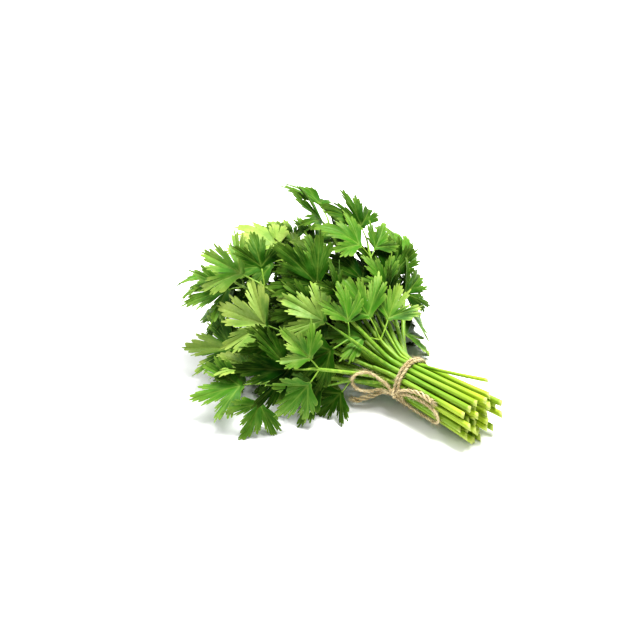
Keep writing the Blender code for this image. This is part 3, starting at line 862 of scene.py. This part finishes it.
def stemMaterial():
    made, tree, shader, _ = newMaterial("parsleyStem")
    along = attribute(tree, "along")
    streaks = noise(tree, 1.0, 4, stretch=stemLook["streaks"])
    colour = shift(tree, along, 0.05, 0.36, stemLook["low"], stemLook["middle"])
    colour = shift(tree, along, 0.36, 0.8, colour, stemLook["top"])
    colour = shift(tree, attribute(tree, "tone"), 0.3, 1, colour, stemLook["deep"], 0.75)
    colour = shift(tree, streaks, 0.45, 0.75, colour, stemLook["stripe"], 0.4)
    # The grooves between the ribs are darker: painted shade
    furrowShade = mathNode(tree, "MULTIPLY", mathNode(tree, "SUBTRACT", 1.0, attribute(tree, "rib")), 0.35)
    colour = mixColour(tree, furrowShade, colour, stemLook["furrowShade"], "MULTIPLY")
    # Painted shade where leaves and other stems close in on the stem
    colour = paintedShade(tree, colour, attribute(tree, "open"), 0.1, 0.6, 0.85)
    colour = mixColour(tree, attribute(tree, "cutFace"), colour, stemLook["cut"])
    colour = mixColour(tree, attribute(tree, "pith"), colour, stemLook["pith"])
    matt = mapRange(tree, streaks, 0.3, 0.7, 0.36, 0.52)
    ridges = bump(tree, streaks, 0.35, 0.3 * mm)
    feed(tree, shader, {"Base Color": colour, "Roughness": matt, "Specular IOR Level": 0.3, "Normal": ridges})
    return made


def addStem(mesh, layers, line, tone, step, around, ribs, start, span):
    points, _ = smoothLine(line, step)
    rows = gridOf(mesh, len(points) - 1, around)
    frames = framesAlong([place for place, _ in points])
    wave = 7 * tone
    for i, (place, radius) in enumerate(points):
        ahead = frames[i][0]
        # How open the stem is to the sky, for its painted shade
        if i % stemLook["openEvery"] == 0:
            shown = openness(place)
        for j, vert in enumerate(rows[i]):
            angle = math.tau * j / around
            rib = math.cos(ribs * angle) if ribs else 0.0
            swell = stemLook["swell"] * math.sin(0.31 * i + wave)
            swell += stemLook["oval"] * math.cos(2 * angle + wave)
            vert.co = place + spoke(frames[i], angle) * radius * (1 + stemLook["ribDepth"] * rib + swell)
            if i == 0 and ribs:
                slant = stemLook["slant"] * (1 + stemLook["slantSpread"] * math.sin(wave * 5))
                vert.co += ahead * slant * (vert.co - place).y
                vert.co += ahead * 0.2 * radius * math.cos(angle + wave * 5)
            vert.co.z = max(vert.co.z, stemLook["lowest"])
            along = start + span * i / (len(rows) - 1)
            mark(vert, layers, open=shown, along=along, rib=0.5 + 0.5 * rib, tone=tone)
    closeSeam(mesh, rows)


def cutEnd(mesh, layers, end):
    # The stem's cut end: a pale rim round a shallow hollow
    bmesh.ops.recalc_face_normals(mesh, faces=mesh.faces)
    for face in mesh.faces:
        if len(face.verts) > 8 and (face.calc_center_median() - end).length < 2 * mm:
            for vert in face.verts:
                vert[layers["cutFace"]] = 1.0
            inner = stemLook["hollow"] - stemLook["rim"]
            bmesh.ops.inset_region(mesh, faces=[face], thickness=stemLook["rim"], depth=0)
            bmesh.ops.inset_region(mesh, faces=[face], thickness=inner, depth=stemLook["hollowDepth"])
            for vert in face.verts:
                vert[layers["pith"]] = 1.0
            break


def buildSprig(sprig, pattern, materials):
    name = sprig["name"]
    rng = random.Random(f"look {name}")
    tone = rng.random()
    mesh = bmesh.new()
    layers = floatLayers(mesh, "along", "rib", "tone", "open", "cutFace", "pith")
    line = list(sprig["line"])
    thin = stemLook["stalkShare"]
    for leaf in sprig["leaves"]:
        if leaf["side"] == 0:
            line += [(place, radius * thin) for place, radius in leaf["stalk"][1:]]
    addStem(mesh, layers, line, tone, **stemLook["stem"])
    for leaf in sprig["leaves"]:
        if leaf["side"] != 0:
            stalk = [(place, radius * thin) for place, radius in leaf["stalk"]]
            addStem(mesh, layers, stalk, tone, **stemLook["stalk"])
    closeEnds(mesh)
    cutEnd(mesh, layers, sprig["line"][0][0])
    finishPiece(name + "_stem", mesh, materials["stem"], [name])

    mesh = bmesh.new()
    layers = floatLayers(mesh, "around", "out", "vein", "tone", "open", "under")
    for leaf in sprig["leaves"]:
        addLeaf(mesh, layers, leaf["blade"], pattern, rng, leafTone(leaf["blade"]["node"], tone, rng))
    if sprig["leaves"]:
        finishPiece(name + "_leaves", mesh, materials["leaf"], [name])
    else:
        mesh.free()


# A leaf's tone goes from 0, deep green, to 1, lime; the far leaves are paler, and so are those of the near
# side, as painted light
leafTones = {
    "base": 0.12, "far": 0.26, "paintedLight": 0.16, "sprig": 0.14, "own": 0.78,
    "paleShare": 0.24, "paleBy": 0.38, "most": 0.86,
}


def leafTone(node, sprigTone, rng):
    far = (node - Vector((0, 0, stems["tieHeight"]))).length / head["reach"]
    # Painted light: leaves towards -x and -y, the near side, are paler
    paintedLight = min(1, max(-1, -(0.74 * (node.x + 0.1) + 0.67 * node.y) / 0.11))
    tone = leafTones["base"] + leafTones["far"] * far + leafTones["paintedLight"] * paintedLight
    tone += leafTones["sprig"] * sprigTone + leafTones["own"] * (rng.random() - 0.35)
    if rng.random() < leafTones["paleShare"]:
        tone += leafTones["paleBy"]
    return min(leafTones["most"], max(0.0, tone))


twineLook = {
    "ply": 0.70 * mm, "offset": 0.56 * mm, "pitch": {2: 7.0 * mm, 3: 17.5 * mm},  # by how many plies
    "step": 0.75 * mm, "around": 8, "lumps": (0.10, 0.06),
    "tan": (0.56, 0.42, 0.18), "pale": (0.92, 0.82, 0.54), "dark": (0.12, 0.078, 0.02),
    "stretch": (0.35, 9, 1), "hairsPerMm": 5.0, "turnHairs": 0.8, "hairRadius": 0.12 * mm,
    "hairLong": (1.6 * mm, 5.0 * mm), "fray": 60, "frayBack": 7, "frayLong": (3.0 * mm, 6.5 * mm),
    "frayCurl": 1.4 * mm, "frayThick": 1.3,
}


def twineMaterial():
    made, tree, shader, _ = newMaterial("juteTwine")
    fibres = noise(tree, 2.2, 5, 0.65, twineLook["stretch"], ("UVMap", "UV"))
    colour = shift(tree, fibres, 0.32, 0.56, twineLook["dark"], twineLook["tan"])
    colour = shift(tree, fibres, 0.52, 0.72, colour, twineLook["pale"])
    colour = shift(tree, noise(tree, 160), 0.35, 0.7, colour, twineLook["pale"], 0.5)
    matt = mapRange(tree, fibres, 0.3, 0.7, 0.95, 0.78)
    ridges = bump(tree, fibres, 0.8, 0.4 * mm)
    feed(tree, shader, {"Base Color": colour, "Roughness": matt, "Sheen Weight": 0.3, "Normal": ridges})
    return made


def addTwist(mesh, points, phase=0.0, closed=False, loosen=0.0, plies=2):
    # Plies wound round each other along a line; a loosened end's plies draw apart
    line, length = smoothLine(points, twineLook["step"], closed)
    places = [place for place, _ in line]
    frames = framesAlong(places, Vector((1, 0.01, 0.02)))
    wraps = length / twineLook["pitch"][plies]
    if closed:
        wraps = round(wraps * 2) / 2
    coarse, fine = twineLook["lumps"]
    for ply in range(plies):
        strand = []
        for i, place in enumerate(places):
            t = i / (len(places) - 1)
            angle = math.tau * (wraps * t + phase + ply / plies)
            away = twineLook["offset"] + loosen * min(1, 1.6 * t) ** 1.5
            lump = coarse * math.sin(9 * t * wraps + 4 * ply) + fine * math.sin(23 * t * wraps)
            strand.append((place + spoke(frames[i], angle) * away, twineLook["ply"] * (1 + lump)))
        rollTube(mesh, strand, twineLook["around"], runFrom=40 * ply * mm)
    return places, frames, length


def addFibre(mesh, root, heading, curl, long, radius):
    line = []
    for t in (0, 1 / 3, 2 / 3, 1):
        line.append((root + heading * long * t + curl * t * t, radius * (1 - 0.7 * t)))
    if min(place.z for place, _ in line) > 0.3 * mm:
        rollTube(mesh, line, 3)


def addHairs(mesh, places, frames, count, rng):
    # Loose fibres that leave the twine at a slant
    for _ in range(count):
        i = rng.randrange(1, len(places) - 1)
        ahead = frames[i][0]
        out = spoke(frames[i], rng.uniform(0, math.tau))
        root = places[i] + out * twine["radius"] * 0.8
        lean = ahead * rng.choice((-1, 1)) * rng.uniform(0.5, 1.8) + out * rng.uniform(0.3, 1.4)
        long = rng.uniform(*twineLook["hairLong"])
        curl = (ahead.cross(out) * rng.uniform(-1, 1) + out * rng.uniform(-0.8, 0.2)) * long * 0.5
        addFibre(mesh, root, lean.normalized(), curl, long, twineLook["hairRadius"])


def addFray(mesh, places, frames, rng):
    # The brush of fibres where a tail was cut and came undone
    radius = twineLook["hairRadius"] * twineLook["frayThick"]
    for _ in range(twineLook["fray"]):
        i = len(places) - 1 - rng.randrange(0, twineLook["frayBack"])
        out = spoke(frames[i], rng.uniform(0, math.tau))
        root = places[i] + out * rng.uniform(0.2, 1.1) * mm
        lean = frames[i][0] + out * rng.uniform(0.0, 0.55)
        curl = Vector((rng.uniform(-1, 1), rng.uniform(-1, 1), rng.uniform(-1, 0.6))) * twineLook["frayCurl"]
        addFibre(mesh, root, lean.normalized(), curl, rng.uniform(*twineLook["frayLong"]), radius)


# Each free stretch of the bow: what its far end is, its plies, and how far they have come undone there
bowFacts = {
    "bow_loop_left": {"farEnd": "object", "loosen": 0.0, "plies": 2},
    "bow_loop_right": {"farEnd": "object", "loosen": 0.0, "plies": 2},
    "bow_tail_left": {"farEnd": "bare", "loosen": 0.95 * mm, "plies": 3},
    "bow_tail_right": {"farEnd": "bare", "loosen": 0.85 * mm, "plies": 3},
}


def buildBow(material, rng):
    hairs = bmesh.new()
    for name, line in bow.items():
        facts = bowFacts[name]
        mesh = bmesh.new()
        twist = {"phase": rng.random(), "loosen": facts["loosen"], "plies": facts["plies"]}
        places, frames, length = addTwist(mesh, line, **twist)
        closeEnds(mesh)
        addHairs(hairs, places, frames, round(length / mm * twineLook["hairsPerMm"]), rng)
        if facts["farEnd"] == "bare":
            addFray(hairs, places, frames, rng)
        piece = finishPiece(name + "_twine", mesh, material, [name])
    return hairs


# How high over the turns each strand of the knot crosses, how far aside, and the wrap that holds them
knotLook = {
    "leftOver": (2.3 * mm, -0.9 * mm), "rightOver": (2.1 * mm, 1.1 * mm), "tailsUnder": (0.9 * mm, 0.0),
    "leave": 1.6 * mm, "hairs": 16, "wrapHigh": 1.7 * mm, "wrapDeep": 2.5 * mm, "wrapWide": 3.3 * mm,
    "wrapSlant": 0.9 * mm, "wrapHairs": 20,
}


def addKnot(mesh, hairs, rng):
    # The bow's roots cross over the turns, and one wrap holds them
    lines = [sprig["line"] for sprig in sprigs]
    crown = outsideOfStems(lines, twine["tieAt"], twine["knotAngle"])
    out = (crown - Vector((twine["tieAt"], 0, stems["tieHeight"]))).normalized()
    ahead = Vector((1, 0, 0))
    down = ahead.cross(out)
    radius = twine["radius"]
    starts = {name: (line[0][0], line[1][0]) for name, line in bow.items()}
    ends = {name: (line[-1][0], line[-2][0]) for name, line in bow.items()}
    for a, b, crossing in (
        (starts["bow_loop_left"], ends["bow_loop_right"], "leftOver"),
        (ends["bow_loop_left"], starts["bow_loop_right"], "rightOver"),
        (starts["bow_tail_left"], starts["bow_tail_right"], "tailsUnder"),
    ):
        lift, aside = knotLook[crossing]
        first = a[0] + (a[0] - a[1]).normalized() * knotLook["leave"]
        last = b[0] + (b[0] - b[1]).normalized() * knotLook["leave"]
        stops = (a[0], first, crown + out * lift + down * aside, last, b[0])
        places, frames, _ = addTwist(mesh, [(place, radius) for place in stops], phase=rng.random())
        addHairs(hairs, places, frames, knotLook["hairs"], rng)
    wrap = []
    for k in range(12):
        angle = math.tau * k / 12
        place = crown + out * (knotLook["wrapHigh"] + knotLook["wrapDeep"] * math.cos(angle))
        place += down * knotLook["wrapWide"] * math.sin(angle)
        wrap.append((place + ahead * knotLook["wrapSlant"] * math.sin(angle + 0.6), radius))
    places, frames, _ = addTwist(mesh, wrap, closed=True)
    addHairs(hairs, places, frames, knotLook["wrapHairs"], rng)


def buildTie(material, hairs, rng):
    mesh = bmesh.new()
    for n, turn in enumerate(turns):
        places, frames, length = addTwist(mesh, turn, phase=0.3 * n, closed=True)
        count = round(length / mm * twineLook["turnHairs"] * twineLook["hairsPerMm"])
        addHairs(hairs, places, frames, count, rng)
    addKnot(mesh, hairs, rng)
    closeEnds(mesh)
    finishPiece("tie_twine", mesh, material, ["twine_tie"])
    closeEnds(hairs)
    finishPiece("twine_fibres", hairs, material)


studio = {
    "floor": (0.94, 0.945, 0.94), "floorRadius": 1.25, "floorRoughness": 0.75, "world": 0.36,
    "lights": (  # name, place, size and power
        ("keyLight", (0.12, 0.52, 1.6), 0.85, 60),
        ("leftLight", (-1.1, -0.45, 1.2), 1.2, 18),
        ("fillLight", (1.1, -1.3, 0.8), 1.4, 4),
    ),
}


def buildFloor():
    mesh = bmesh.new()
    bmesh.ops.create_circle(mesh, cap_ends=True, segments=128, radius=studio["floorRadius"])
    floor = addObject("floor", meshData(mesh, "floor"))
    made, tree, shader, _ = newMaterial("paleFloor")
    feed(tree, shader, {"Base Color": studio["floor"], "Roughness": studio["floorRoughness"]})
    floor.data.materials.append(made)


def lightStudio():
    # The world is white to the camera, and dimmer as a light
    world = bpy.data.worlds.new("studio")
    world.use_nodes = True
    tree = world.node_tree
    seen = addNode(tree, "LightPath", {}, "Is Camera Ray")
    strength = mapRange(tree, seen, 0, 1, studio["world"], 1.0)
    feed(tree, tree.nodes["Background"], {"Color": (1, 1, 1), "Strength": strength})
    scene.world = world
    scene.view_settings.view_transform = "Standard"
    scene.view_settings.look = "Medium High Contrast"
    for name, place, size, power in studio["lights"]:
        data = bpy.data.lights.new(name, "AREA")
        data.size = size
        data.energy = power
        addObject(name, data, place, -Vector(place))


rng = random.Random(7)
cover = growCover()
sky = skyDirections()
paintedShadeTree = paintedShadeGroup()
materials = {"leaf": leafMaterial(), "stem": stemMaterial()}
jute = twineMaterial()
hairs = buildBow(jute, rng)
buildTie(jute, hairs, rng)
print("twine made")
pattern = leafPattern()
for sprig in sprigs:
    buildSprig(sprig, pattern, materials)
print("sprigs made")
buildFloor()
lightStudio()
print("stage set")
